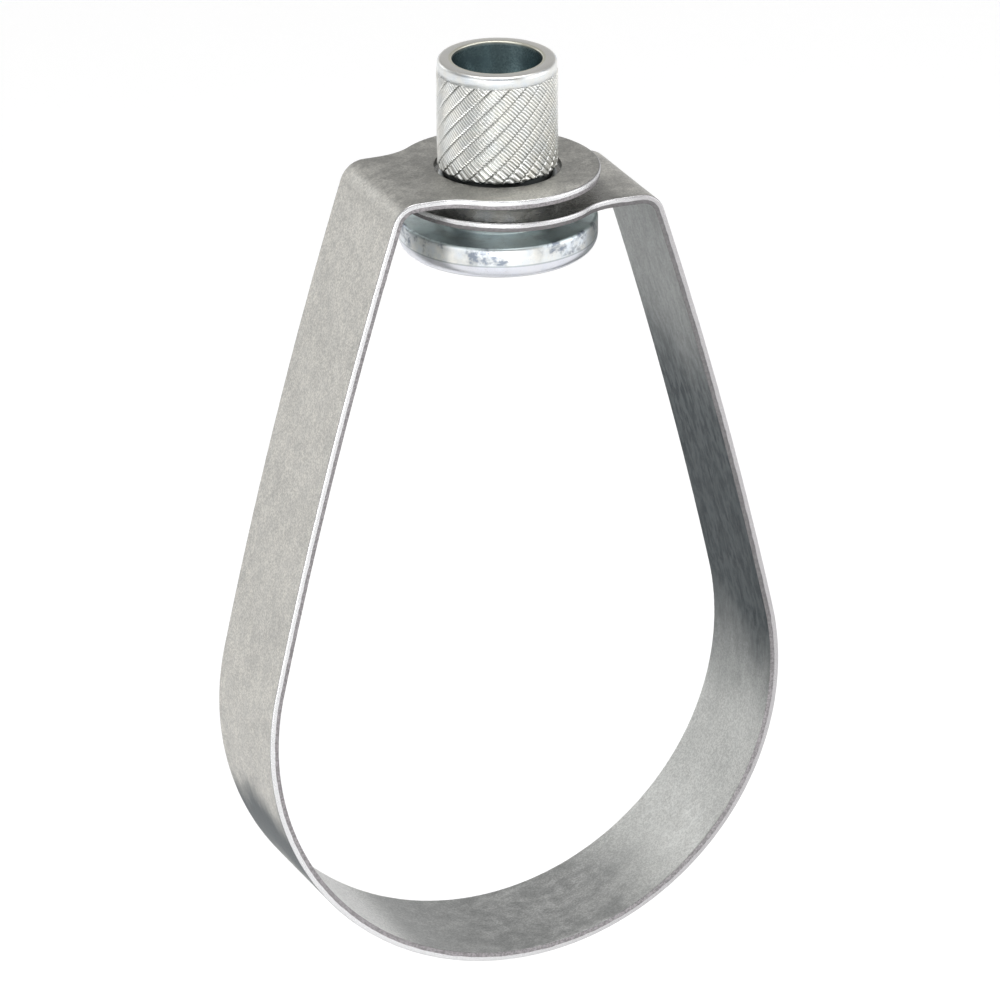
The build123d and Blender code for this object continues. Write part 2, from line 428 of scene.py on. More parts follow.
def zincPlating(f, name, knurled=False):
    material, tree, shader = newMaterial(name, 1.0)
    place = addNode(tree, "ShaderNodeTexCoord").outputs["Object"]
    inMm = addNode(tree, "ShaderNodeVectorMath", {0: place, 3: 1 / mm}, operation="SCALE").outputs[0]
    x, y, height = splitXYZ(tree, inMm)
    radius = calc(tree, "SQRT", plus(tree, times(tree, x, x), times(tree, y, y)))
    lines = noiseAt(tree, joinXYZ(tree, radius, 0.0, height), *f["turningLines"])["Fac"]
    cloudy = useGroup(tree, patches, inMm, f["cloudy"])["Patch"]
    speckle = useGroup(tree, grain, inMm, f["speckle"])

    def mask(gain, *limits):
        # Each limit is a value, the level that its ramp is measured from, and the ramp's start and end
        ramps = [ramp(tree, value, level + start, level + end) for value, level, (start, end) in limits]
        return times(tree, *ramps, gain)

    colour = tint(tree, cloudy, f["cool"], f["warm"])
    bump = speckle["Height"]
    if knurled:
        crest = addNode(tree, "ShaderNodeAttribute", attribute_name="crest").outputs["Fac"]
        # Painted shade in the knurl's grooves and between its serrations
        inGrooves = ramp(tree, crest, *f["crestFrom"], f["grooveShade"], 0.0)
        colour = tint(tree, inGrooves, tint(tree, f["warmCrests"], colour, f["warm"]), f["grimeAndShade"])
    else:
        foot, top, eyeTop = nutLow.z, nutHigh.z, ringHigh.z
        flangeLimits = (height, 0.0, f["flangeTopFrom"]), (height, 0.0, f["flangeTopTo"])
        colour = tint(tree, mask(f["flangeTopGain"], *flangeLimits), colour, f["flangeTop"])
        smoke = useGroup(tree, patches, inMm, f["smoke"])["Patch"]
        dull = times(tree, smoke, cloudy, ramp(tree, height, *f["dullFrom"], *f["dullGain"]))
        colour = tint(tree, dull, colour, f["smoky"])

        # The flange's rim: a line where its lower edge begins to turn, and scuffs above it
        lowerBand = mask(f["lowerBandGain"], (height, foot, f["bandFrom"]))
        colour = tint(tree, lowerBand, colour, f["lowerBand"])
        offLine = calc(tree, "ABSOLUTE", minus(tree, height, foot + f["turnAt"]))
        colour = tint(tree, ramp(tree, offLine, *f["lineFrom"], f["lineGain"], 0.0), colour, f["smoky"])
        scuffs = useGroup(tree, patches, inMm, f["scuffs"])["Patch"]
        rimLimits = (radius, 0.0, f["rimBeyond"]), (height, foot, f["rimFrom"]), (smoke, 0.0, f["scuffsFrom"])
        colour = tint(tree, mask(scuffs, *rimLimits), colour, f["scuffed"])

        # The top, the bore's mouth, the bore, painted shadow on the neck in the upper eye's hole, and painted
        # shade on the underside
        colour = tint(tree, mask(f["rubbedGain"], (height, top, f["rubbedFrom"])), colour, f["rubbedTop"])
        mouth = mask(f["mouthGain"], (radius, 0.0, f["mouthWithin"]), (height, top, f["mouthFrom"]))
        colour = tint(tree, mouth, colour, f["mouth"])
        bore = tint(tree, times(tree, speckle["Tone"], cloudy), f["boreDark"], f["boreLight"])
        inBore = mask(1.0, (radius, 0.0, f["boreWithin"]), (height, top, f["boreFrom"]))
        colour = tint(tree, inBore, colour, bore)
        # Painted shadow: the neck in the upper eye's hole is painted near black
        neckRadii = (radius, 0.0, f["neckWithin"]), (radius, 0.0, f["neckBeyond"])
        neck = mask(1.0, (height, eyeTop, f["shadowFrom"]), (height, eyeTop, f["shadowTo"]), *neckRadii)
        colour = tint(tree, neck, colour, f["shadow"])
        # Painted shade at the foot of the flange's rounded underside
        colour = tint(tree, mask(f["underGain"], (height, foot, f["underFrom"])), colour, f["grimeAndShade"])
        bump = plus(tree, lines, times(tree, bump, f["grainShare"]))
    colour = tint(tree, times(tree, speckle["Pit"], f["pitGain"]), colour, f["grimeAndShade"])
    rough = plus(tree, f["roughness"], times(tree, lines, f["roughnessSpread"]))
    linkLooks(tree, shader, colour, rough, bump, f["turningHeight"])
    return material


platedMaterial = zincPlating(platingFinish, "zincPlating")
knurlMaterial = zincPlating(platingFinish, "zincKnurl", knurled=True)
print("plating made")


def weldedMesh(name, patchGrids, material):
    # Grids of points (rows, columns, 3 or more) are welded to one closed mesh. Its points come back with
    # every value in their rows, in the mesh's order.
    rows = np.concatenate([grid.reshape(-1, grid.shape[2]) for grid in patchGrids])
    faces = []
    start = 0
    for grid in patchGrids:
        across = grid.shape[1]
        for i in range(grid.shape[0] - 1):
            for j in range(across - 1):
                corner = start + i * across + j
                faces.append((corner, corner + 1, corner + across + 1, corner + across))
        start += grid.shape[0] * across
    rounded = np.round(rows[:, :3], 5)
    firsts, lookup = np.unique(rounded, axis=0, return_index=True, return_inverse=True)[1:]
    lookup = lookup.reshape(-1)
    points = rows[firsts]
    faces = [tuple(dict.fromkeys(int(lookup[k]) for k in face)) for face in faces]
    faces = [face for face in faces if len(face) > 2]
    mesh = bpy.data.meshes.new(name)
    mesh.from_pydata(points[:, :3] * mm, [], faces)
    mesh.materials.append(material)
    mesh.polygons.foreach_set("use_smooth", [True] * len(mesh.polygons))
    work = bmesh.new()
    work.from_mesh(mesh)
    bmesh.ops.recalc_face_normals(work, faces=work.faces)
    work.to_mesh(mesh)
    work.free()
    piece = bpy.data.objects.new(name, mesh)
    scene.collection.objects.link(piece)
    return piece, points


# The band is made as the real one is: a flat blank, pierced and rolled over at its sheared edges, then
# bent. A point of the blank is (along, across, depth), along from the upper eye's middle.
band = {
    "width": 15.7,
    "thickness": 1.05,
    "legBow": 595.0,
    "shoulderRun": 3.5,
    "shoulderBend": 1.9,
    "waistRadius": 7.0,
    "holeRadius": 7.25,
    "lowerEyeLift": 1.45,
    "lowerSpring": 2.0,  # the free ends spring up from level, towards the left
    "upperSpring": 0.5,
    "edgeRoll": 0.2,
    "holeRoll": 0.07,
    "burr": 0.06,
    "tornSlope": 0.05,
    "burnishedDepths": (0.2, 0.0, -0.2),  # from the middle of the thickness
    "waver": 0.06,
    "waverReach": 1.2,  # across the strip, in from its edge
    "waverClear": (1.0, 3.0),  # along the strip, past the necks
    "waverRates": (0.55, 1.7),  # waves to a millimetre of the strip, coarse and fine
    "columns": 14,
    "outerColumn": 0.955,  # one more column near each edge, as a share of half the width
    "step": 1.1,
    "bendStep": 0.22,
    "shoulderUnder": 5.0,  # a bent run shorter than this is a shoulder
    "neckClear": 0.2,
    "eyeSteps": 76,
    "neckSteps": 10,
    "eyeFrom": 1.1,  # radians round the eye from its neck, where the steps of the waist end
    "ringShares": (0.0, 0.06, 0.3, 0.6, 0.9, 1.0),  # from the hole to the eye's edge
    "edgeMask": (0.0, 0.35, 1.0, 0.0),  # on the outer face, below it, down the edge and on the inner face
}


def bandPath(b):
    half = b["thickness"] / 2
    loopRadius = ringHigh.x - b["thickness"]
    loopDrop = -ringLow.z - loopRadius - b["thickness"]
    eyeRadius = ringHigh.y
    waistReach = math.sqrt((eyeRadius + b["waistRadius"]) ** 2 - (b["width"] / 2 + b["waistRadius"]) ** 2)
    neckReach = max(waistReach, eyeRadius) + b["thickness"]
    legReach = neckReach + b["shoulderRun"]
    legSpan = math.hypot(legReach, loopDrop)
    bowOffset = b["legBow"] - loopRadius
    cosine = (b["legBow"] ** 2 - bowOffset**2 - legSpan**2) / (2 * bowOffset * legSpan)
    lean = math.atan2(loopDrop, legReach) - math.acos(cosine)
    bowX, bowZ = -bowOffset * math.cos(lean), -loopDrop - bowOffset * math.sin(lean)
    bend = b["shoulderBend"] + half
    bow = b["legBow"] + half
    ends = []
    for middle in (ringHigh.z - half, b["lowerEyeLift"] + half):
        flat = bowX + math.sqrt((bow - bend) ** 2 - (middle - bend - bowZ) ** 2)
        turn = math.acos((flat - bowX) / (bow - bend))
        ends.append((flat, turn))
    (upperFlat, upperTurn), (lowerFlat, lowerTurn) = ends
    upperSpring, lowerSpring = math.radians(b["upperSpring"]), math.radians(b["lowerSpring"])
    upperFlat = (upperFlat - bend * math.sin(upperSpring)) / math.cos(upperSpring)
    lowerFlat = (lowerFlat + bend * math.sin(lowerSpring)) / math.cos(lowerSpring)
    upperBend, lowerBend = math.pi / 2 - upperTurn + upperSpring, math.pi / 2 - lowerTurn - lowerSpring
    start = (0.0, ringHigh.z - half - bend * (1 - math.cos(upperSpring)) - upperFlat * math.sin(upperSpring))
    runs = [
        (upperFlat, 0.0),
        (bend * upperBend, upperBend),
        (bow * (upperTurn - lean), upperTurn - lean),
        ((loopRadius + half) * (math.pi + 2 * lean), math.pi + 2 * lean),
        (bow * (lowerTurn - lean), lowerTurn - lean),
        (bend * lowerBend, lowerBend),
        (lowerFlat, 0.0),
    ]
    return runs, start, math.pi - upperSpring, neckReach, waistReach, eyeRadius


bandRuns, bandStart, startHeading, neckReach, waistReach, eyeRadius = bandPath(band)
bandLength = sum(length for length, turn in bandRuns)
lowestPoint = sum(length for length, turn in bandRuns[:3]) + bandRuns[3][0] / 2
stripMaterial = galvanisedStrip(stripFinish, lowestPoint, bandLength)


def bendBlank(flat):
    # Each point goes round the path's straight and circular runs, and its depth stands off them
    starts, headings, places = [0.0], [startHeading], [bandStart]
    for length, turn in bandRuns:
        h, (x, z) = headings[-1], places[-1]
        curve = turn / length
        if turn:
            dx, dz = (math.sin(h + turn) - math.sin(h)) / curve, (math.cos(h) - math.cos(h + turn)) / curve
        else:
            dx, dz = length * math.cos(h), length * math.sin(h)
        starts.append(starts[-1] + length)
        headings.append(h + turn)
        places.append((x + dx, z + dz))
    run = np.clip(np.searchsorted(starts, flat[:, 0], side="right") - 1, 0, len(bandRuns) - 1)
    curve = np.array([turn / length for length, turn in bandRuns])[run]
    h0 = np.array(headings)[run]
    along = flat[:, 0] - np.array(starts)[run]
    h = h0 + curve * along
    safe = np.where(curve == 0, 1.0, curve)
    dx = np.where(curve == 0, along * np.cos(h0), (np.sin(h) - np.sin(h0)) / safe)
    dz = np.where(curve == 0, along * np.sin(h0), (np.cos(h0) - np.cos(h)) / safe)
    place = np.array(places)[run]
    x = place[:, 0] + dx + flat[:, 2] * np.sin(h)
    z = place[:, 1] + dz - flat[:, 2] * np.cos(h)
    return np.stack([x, flat[:, 1], z], axis=1)


def eyeOutline(b, angles):
    # The eye's outer edge and its outward normal, from the neck round the free end and back
    half, waist = b["width"] / 2, b["waistRadius"]
    spots, normals = [], []
    for angle in angles:
        way = Vector((math.cos(angle), math.sin(angle)))
        side = 1.0 if way.y > 0 else -1.0
        waistMiddle = Vector((waistReach, side * (half + waist)))
        if abs(angle) >= math.atan2(half + waist, waistReach):
            spot, normal = way * eyeRadius, way
        elif abs(angle) >= math.atan2(half, waistReach):
            near = waistMiddle.dot(way)
            spot = way * (near - math.sqrt(near**2 - waistMiddle.length_squared + waist**2))
            normal = (waistMiddle - spot).normalized()
        else:
            spot, normal = Vector((half / abs(math.tan(angle)), side * half)), Vector((0, side))
        spots.append(spot)
        normals.append(normal)
    return np.array(spots), np.array(normals)


def edgeProfile(b, roll):
    # Insets and depths down a sheared edge: rolled over at the outer face, then burnished, torn and burred
    thick, burr, slope = b["thickness"] / 2, b["burr"], b["tornSlope"]
    turnsOver = np.radians([0, 18, 36, 54, 72, 90])
    insets = [0.0, 0.0, slope * 0.4, slope, slope + burr * 0.3, slope + burr]
    depths = [*b["burnishedDepths"], burr - thick, burr * 0.3 - thick, -thick]
    insets = np.append(roll * (1 - np.sin(turnsOver)), insets)
    return insets, np.append(thick - roll * (1 - np.cos(turnsOver)), depths)


def bandBlank(b):
    half, thick = b["width"] / 2, b["thickness"] / 2
    edgeInsets, edgeDepths = edgeProfile(b, b["edgeRoll"])
    holeInsets, holeDepths = edgeProfile(b, b["holeRoll"])
    spread = np.linspace(-1, 1, b["columns"] + 1)
    spread = np.sort(np.append(spread, [-b["outerColumn"], b["outerColumn"]]))
    neckAngle = math.atan2(half, neckReach)
    eyeFrom, whole = b["eyeFrom"], 2 * math.pi
    free = np.concatenate(
        [
            np.linspace(neckAngle, eyeFrom, b["neckSteps"])[:-1],
            np.linspace(eyeFrom, whole - eyeFrom, b["eyeSteps"]),
            np.linspace(whole - eyeFrom, whole - neckAngle, b["neckSteps"])[1:],
        ]
    )
    signed = np.where(free > math.pi, free - whole, free)
    outer, outward = eyeOutline(b, signed)
    holeFree = b["holeRadius"] * np.stack([np.cos(free), np.sin(free)], axis=1)
    neckAngles = np.arctan2(spread * half, neckReach)
    holeNeck = b["holeRadius"] * np.stack([np.cos(neckAngles), np.sin(neckAngles)], axis=1)
    marks = np.cumsum([0.0] + [length for length, turn in bandRuns])
    stations = []
    for (length, turn), start in zip(bandRuns, marks):
        size = b["bendStep"] if turn and length < b["shoulderUnder"] else b["step"]
        stations += list(start + np.linspace(0, length, max(2, math.ceil(length / size)) + 1)[:-1])
    clear = neckReach + b["neckClear"]
    stations = np.array([s for s in stations if clear < s < bandLength - clear])
    stations = np.concatenate([[neckReach], stations, [bandLength - neckReach]])
    grids = []

    def addGrid(points, depth, edge):
        # points (rows, columns, 2) of the blank with their depth and how far they belong to the edge
        depth = np.broadcast_to(depth, points.shape[:2])
        edge = np.broadcast_to(edge, points.shape[:2])
        grids.append(np.dstack([points, depth, edge]))

    ringShares = np.array(b["ringShares"])

    def acrossRing(hole, outerSpot, outerNormal, inset, holeInset):
        first = hole * (1 + holeInset / b["holeRadius"])
        last = outerSpot - outerNormal * inset
        return first[:, None] + (last - first)[:, None] * ringShares[None, :, None]

    for depth, k in ((thick, 0), (-thick, -1)):
        inset, holeInset = edgeInsets[k], holeInsets[k]
        neckEnd = np.stack([np.full(len(spread), neckReach), spread * (half - inset)], axis=1)
        ringFree = acrossRing(holeFree, outer, outward, inset, holeInset)
        ringNeck = acrossRing(holeNeck, neckEnd, np.zeros_like(neckEnd), inset, holeInset)
        strip = np.dstack(np.meshgrid(stations, spread * (half - inset), indexing="ij"))
        addGrid(strip, depth, 0.0)
        for grid in (ringFree, ringNeck):
            addGrid(grid, depth, 0.0)
            addGrid(np.array([bandLength, 0.0]) + grid * np.array([-1.0, 1.0]), depth, 0.0)
    outside, below, down, within = b["edgeMask"]
    sheared = np.array([outside, below] + [down] * (len(edgeInsets) - 3) + [within])

    def addRim(spots, normals, insets, depths, mask):
        points = spots[:, None] - normals[:, None] * insets[None, :, None]
        addGrid(points, depths[None, :], mask[None, :])

    flip = np.array([-1.0, 1.0])
    far = np.array([bandLength, 0.0])
    holeRim = (holeInsets, holeDepths, sheared * 0.0)
    edgeRim = (edgeInsets, edgeDepths, sheared)
    for spots, normals, rim in (
        (outer, outward, edgeRim),
        (holeFree, -holeFree / b["holeRadius"], holeRim),
        (holeNeck, -holeNeck / b["holeRadius"], holeRim),
    ):
        addRim(spots, normals, *rim)
        addRim(far + spots * flip, normals * flip, *rim)
    for side in (-half, half):
        line = np.stack([stations, np.full(len(stations), side)], axis=1)
        addRim(line, np.tile([0.0, math.copysign(1, side)], (len(stations), 1)), *edgeRim)
    return grids


def waverEdges(flat, b):
    # The slit edges run a little unevenly, always inside the strip's width
    half = b["width"] / 2
    for spot in flat:
        along, across = spot[0], spot[1]
        nearEdge = min(1.0, max(0.0, abs(across) - half + b["waverReach"]) / b["waverReach"])
        pastNecks = min(along, bandLength - along) - neckReach - b["waverClear"][0]
        pastNecks = min(1.0, max(0.0, pastNecks) / b["waverClear"][1])
        side = math.copysign(1.0, across)
        coarse, fine = [along * rate for rate in b["waverRates"]]
        wave = noise.noise(Vector((coarse, side * 7.0, 0.0)))
        wave += 0.5 * noise.noise(Vector((fine, side * 3.0, 5.0)))
        spot[1] -= side * b["waver"] * (0.5 + 0.33 * wave) * nearEdge * pastNecks


bandPiece, blank = weldedMesh("bandStrip", bandBlank(band), stripMaterial)
waverEdges(blank, band)
bent = bendBlank(blank[:, :3])
bandPiece.data.vertices.foreach_set("co", (bent * mm).ravel())
for label, kind, values in (("flat", "FLOAT_VECTOR", blank[:, :3].ravel()), ("edge", "FLOAT", blank[:, 3])):
    layer = bandPiece.data.attributes.new(label, kind, "POINT")
    layer.data.foreach_set("vector" if kind == "FLOAT_VECTOR" else "value", values)
bandPiece.data.update()
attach(bandPiece, "ring")
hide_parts("ring_band")
print("band bent:", len(bandPiece.data.polygons), "faces")

# The nut is a turned body, a knurl wrapped round it and a thread wound up its bore
nut = {
    "shank": 6.75,
    "neckDepth": 0.45,  # the shank is relieved under the knurl
    "knurlSink": 0.12,  # the knurl's foot below the upper eye's highest point
    "neckFoot": (1.0, 0.8),  # below the knurl's foot
    "neckTop": (0.5, 0.25),  # below the knurl's top
    "shankRoot": 0.5,
    "collar": 6.8,
    "collarHeight": 1.15,
    "collarEdge": 0.45,
    "flangeTopEdge": 0.45,
    "flangeBottomEdge": 1.8,
    "footChamfer": (0.2, 0.02, 0.1),  # out, up, and the radius of its outer corner
    "leadIn": 5.15,
    "leadInDepth": 7.0,
    "leadInEdge": 0.15,
    "leadInCone": 0.45,
    "threadCrest": 4.0,
    "threadRoot": 4.76,
    "threadPitch": 1.5875,
    "threadFrom": nutLow.z + 0.3,
    "threadTop": nutHigh.z - 7.6,
    "steps": 160,
}


def roundedProfile(corners):
    # Arcs of six facets in the corners that have a radius
    points = []
    facets = 6
    for k, (x, z, radius) in enumerate(corners):
        here, before, after = Vector((x, z)), corners[k - 1], corners[(k + 1) % len(corners)]
        if not radius:
            points.append(here)
            continue
        back, ahead = [(Vector(corner[:2]) - here).normalized() for corner in (before, after)]
        opening = math.acos(max(-1.0, min(1.0, back.dot(ahead))))
        middle = here + (back + ahead).normalized() * radius / math.sin(opening / 2)
        first, last = [here + way * radius / math.tan(opening / 2) - middle for way in (back, ahead)]
        sweep = first.angle_signed(last)
        for step in range(facets + 1):
            turn = -sweep * step / facets
            c, s = math.cos(turn), math.sin(turn)
            points.append(middle + Vector((first.x * c - first.y * s, first.x * s + first.y * c)))
    return np.array([tuple(point) for point in points])


def nutProfile(n):
    # From the foot of the bore outward and up, as (radius, height, corner radius)
    knurlFoot, knurlTop = ringHigh.z - n["knurlSink"], nutHigh.z - n["collarHeight"]
    neck = n["shank"] - n["neckDepth"]
    chamferOut, chamferUp, chamferEdge = n["footChamfer"]
    leadInFoot = nutHigh.z - n["leadInDepth"]
    return roundedProfile(
        [
            (n["threadRoot"], nutLow.z + chamferUp, 0),
            (n["threadRoot"] + chamferOut, nutLow.z, chamferEdge),
            (nutHigh.x, nutLow.z, n["flangeBottomEdge"]),
            (nutHigh.x, 0.0, n["flangeTopEdge"]),
            (n["shank"], 0.0, n["shankRoot"]),
            (n["shank"], knurlFoot - n["neckFoot"][0], 0),
            (neck, knurlFoot - n["neckFoot"][1], 0),
            (neck, knurlTop - n["neckTop"][0], 0),
            (n["collar"], knurlTop - n["neckTop"][1], 0),
            (n["collar"], nutHigh.z, n["collarEdge"]),
            (n["leadIn"], nutHigh.z, n["leadInEdge"]),
            (n["leadIn"], leadInFoot, 0),
            (n["threadRoot"], leadInFoot - n["leadInCone"], 0),
        ]
    )


profile = nutProfile(nut)
profile = np.vstack([profile, profile[:1]])
around = np.linspace(0, 2 * math.pi, nut["steps"] + 1)
around[-1] = 0.0
body = np.dstack(
    [
        np.cos(around)[:, None] * profile[None, :, 0],
        np.sin(around)[:, None] * profile[None, :, 0],
        np.broadcast_to(profile[None, :, 1], (len(around), len(profile))),
    ]
)
nutPiece = weldedMesh("nutBody", [body], platedMaterial)[0]
print("nut turned:", len(nutPiece.data.polygons), "faces")


def shaped(tree, kind, inputs, **settings):
    return addNode(tree, "GeometryNode" + kind, inputs, **settings).outputs[0]


def sheetOf(tree, rows, columns):
    # A flat sheet of unit size, and where its points lie: 0 to 1 along, -0.5 to 0.5 across
    counts = {"Vertices X": rows, "Vertices Y": columns}
    sheet = shaped(tree, "MeshGrid", {"Size X": 1.0, "Size Y": 1.0, **counts})
    spot = splitXYZ(tree, shaped(tree, "InputPosition", {}))
    return sheet, plus(tree, spot[0], 0.5), spot[1]


def wrapRound(tree, angle, radius, height):
    x = times(tree, radius, calc(tree, "COSINE", angle))
    y = times(tree, radius, calc(tree, "SINE", angle))
    return joinXYZ(tree, x, y, height)


def grownPiece(name, tree, values, material):
    # A Geometry Nodes tree run once and kept as a plain mesh
    piece = bpy.data.objects.new(name, bpy.data.meshes.new(name + "Seed"))
    scene.collection.objects.link(piece)
    modifier = piece.modifiers.new("grow", "NODES")
    modifier.node_group = tree
    for item in tree.interface.items_tree:
        if item.in_out == "INPUT":
            modifier[item.identifier] = material if item.name == "Material" else values[item.name]
    bpy.context.view_layer.update()
    grown = bpy.data.meshes.new_from_object(piece.evaluated_get(bpy.context.evaluated_depsgraph_get()))
    piece.modifiers.remove(modifier)
    grown.name = name
    piece.data = grown
    return piece


def openShape(name, values):
    # The tree's inputs are the values, under their own names, and the material
    inputs = [(label, "Int" if isinstance(value, int) else "Float", value) for label, value in values.items()]
    inputs.append(("Material", "Material", None))
    return openTree(name, "GeometryNodeTree", inputs, [("Geometry", "Geometry")])


def knurlTree(values):
    # One land between two helical grooves, cut across by fine serrations, repeated round the nut
    tree, given, made = openShape("knurl", values)
    endFade = 0.07  # share of the height over which the rows turn level
    sheet, along, halfAcross = sheetOf(tree, given["Rows"], given["Columns"])
    across = times(tree, halfAcross, 2.0)
    slope = calc(tree, "TANGENT", given["Helix"])
    halfPitch = calc(tree, "DIVIDE", math.pi, given["Lands"])
    # Rows lie along the serrations, and run level at the two ends
    lift = calc(tree, "DIVIDE", times(tree, halfPitch, given["Radius"]), times(tree, slope, 2.0))
    fade = times(tree, ramp(tree, along, 0.0, endFade), ramp(tree, along, 1.0, 1.0 - endFade))
    height = minus(tree, times(tree, along, given["Height"]), times(tree, across, lift, fade))
    twist = calc(tree, "DIVIDE", times(tree, height, slope), given["Radius"])
    angle = plus(tree, times(tree, across, halfPitch), twist)
    edgeShare = minus(tree, 1.0, given["Groove Share"])
    groove = times(tree, ramp(tree, calc(tree, "ABSOLUTE", across), edgeShare, 1.0), given["Groove Depth"])

    # Serrations, at half the count near the foot, where the knurling tool left coarse teeth
    footFrom, coarseMost, sharpness = (0.3, 0.02), 0.75, 1.3  # footFrom is in shares of the height
    phase = times(tree, plus(tree, angle, twist), given["Serrations"])
    waves = [calc(tree, "COSINE", turn) for turn in (phase, times(tree, phase, 0.5))]
    tooth, coarse = [plus(tree, times(tree, wave, 0.5), 0.5) for wave in waves]
    nearFoot = times(tree, ramp(tree, along, *footFrom), coarseMost)
    bite = addNode(tree, "ShaderNodeMix", {0: nearFoot, 2: tooth, 3: coarse}).outputs[0]
    serration = times(tree, calc(tree, "POWER", bite, sharpness), given["Serration Depth"])
    fromEnd = calc(tree, "MINIMUM", height, minus(tree, given["Height"], height))
    taper = calc(tree, "MAXIMUM", 0.0, minus(tree, given["End Taper"], fromEnd))
    cut = plus(tree, calc(tree, "MAXIMUM", groove, serration), taper)
    crest = minus(tree, 1.0, calc(tree, "DIVIDE", cut, given["Groove Depth"]))
    marking = {"Geometry": sheet, "Name": "crest", "Value": crest}
    marked = shaped(tree, "StoreNamedAttribute", marking, data_type="FLOAT", domain="POINT")
    wrapped = wrapRound(tree, angle, minus(tree, given["Radius"], cut), plus(tree, height, given["Foot"]))
    land = shaped(tree, "SetPosition", {"Geometry": marked, "Position": wrapped})

    # Repeated round the nut and welded to one sheet
    spots = shaped(tree, "Points", {"Count": given["Lands"], "Position": (0.0, 0.0, 0.0)})
    turn = times(tree, shaped(tree, "InputIndex", {}), halfPitch, 2.0)
    facing = joinXYZ(tree, 0.0, 0.0, turn)
    copies = shaped(tree, "InstanceOnPoints", {"Points": spots, "Instance": land, "Rotation": facing})
    whole = shaped(tree, "RealizeInstances", {"Geometry": copies})
    joined = shaped(tree, "MergeByDistance", {"Geometry": whole, "Distance": 0.000002})

    # Chipped and uneven crests, and a ragged foot; the scales are to a metre and the height is in metres
    chipScale, chipAbove, raggedScale, raggedHeight = 1900.0, 0.62, 700.0, 0.0009
    place = shaped(tree, "InputPosition", {})
    chipNoise = {"Vector": place, "W": given["Seed"], "Scale": chipScale, "Detail": 3.0}
    rubbed = addNode(tree, "ShaderNodeTexNoise", chipNoise, noise_dimensions="4D").outputs["Fac"]
    chip = times(tree, minus(tree, rubbed, chipAbove), given["Chipping"])
    outward = vectorCalc(tree, "MULTIPLY", place, (1.0, 1.0, 0.0))
    away = addNode(tree, "ShaderNodeVectorMath", {0: outward}, operation="NORMALIZE").outputs[0]
    shift = addNode(tree, "ShaderNodeVectorMath", {0: away, 3: chip}, operation="SCALE").outputs[0]
    patchy = ramp(tree, noiseAt(tree, place, raggedScale)["Fac"], 0.35, 0.65)
    level = splitXYZ(tree, place)[2]
    footBand = ramp(tree, level, given["Foot"], plus(tree, given["Foot"], raggedHeight), 1.0, 0.0)
    rise = times(tree, patchy, footBand, given["Ragged Foot"])
    moved = vectorCalc(tree, "ADD", shift, joinXYZ(tree, 0.0, 0.0, rise))
    worn = shaped(tree, "SetPosition", {"Geometry": joined, "Offset": moved})
    smooth = shaped(tree, "SetShadeSmooth", {"Geometry": worn})
    painted = shaped(tree, "SetMaterial", {"Geometry": smooth, "Material": given["Material"]})
    tree.links.new(painted, made["Geometry"])
    return tree


# The knurl's and the thread's own sizes are in metres and radians
knurl = {
    "Lands": 21,
    "Radius": 6.9 * mm,
    "Foot": (ringHigh.z - nut["knurlSink"]) * mm,
    "Height": (nutHigh.z - nut["collarHeight"] - ringHigh.z + nut["knurlSink"]) * mm,
    "Helix": math.radians(45.0),
    "Groove Depth": 0.24 * mm,
    "Groove Share": 0.2,
    "Serrations": 84,
    "Serration Depth": 0.19 * mm,
    "End Taper": 0.3 * mm,
    "Chipping": 0.09 * mm,
    "Ragged Foot": 0.22 * mm,
    "Seed": 3.0,
    "Rows": 230,
    "Columns": 13,
}
knurlPiece = grownPiece("nutKnurl", knurlTree(knurl), knurl, knurlMaterial)
print("knurl cut:", len(knurlPiece.data.polygons), "faces")


def threadTree(values):
    # A right-hand ridge wound up the bore, its ends sunk into the wall
    tree, given, made = openShape("thread", values)
    endFade, flankFrom, sunk = 0.06, (0.44, 0.12), 0.00002  # the last in metres
    sheet, along, across = sheetOf(tree, given["Steps"], 6)
    ends = times(tree, ramp(tree, along, 0.0, endFade), ramp(tree, along, 1.0, 1.0 - endFade))
    flank = ramp(tree, calc(tree, "ABSOLUTE", across), *flankFrom)
    bite = times(tree, minus(tree, given["Root Radius"], given["Crest Radius"]), ends)
    radius = minus(tree, plus(tree, given["Root Radius"], sunk), times(tree, flank, bite))
    turned = times(tree, along, given["Turns"])
    rise = times(tree, plus(tree, turned, across), given["Pitch"])
    wound = wrapRound(tree, times(tree, turned, 2 * math.pi), radius, plus(tree, rise, given["Foot"]))
    ridge = shaped(tree, "SetPosition", {"Geometry": sheet, "Position": wound})
    inwards = shaped(tree, "FlipFaces", {"Mesh": ridge})
    smooth = shaped(tree, "SetShadeSmooth", {"Geometry": inwards})
    whole = shaped(tree, "RealizeInstances", {"Geometry": smooth})
    painted = shaped(tree, "SetMaterial", {"Geometry": whole, "Material": given["Material"]})
    tree.links.new(painted, made["Geometry"])
    return tree


thread = {
    "Crest Radius": nut["threadCrest"] * mm,
    "Root Radius": nut["threadRoot"] * mm,
    "Pitch": nut["threadPitch"] * mm,
    "Foot": (nut["threadFrom"] + 0.5 * nut["threadPitch"]) * mm,
    "Turns": (nut["threadTop"] - nut["threadFrom"]) / nut["threadPitch"] - 1.0,
    "Steps": 560,
}
threadPiece = grownPiece("nutThread", threadTree(thread), thread, platedMaterial)
print("thread wound:", len(threadPiece.data.polygons), "faces")

for piece in (nutPiece, knurlPiece, threadPiece):
    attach(piece, "nut")
    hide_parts("swivel_nut")

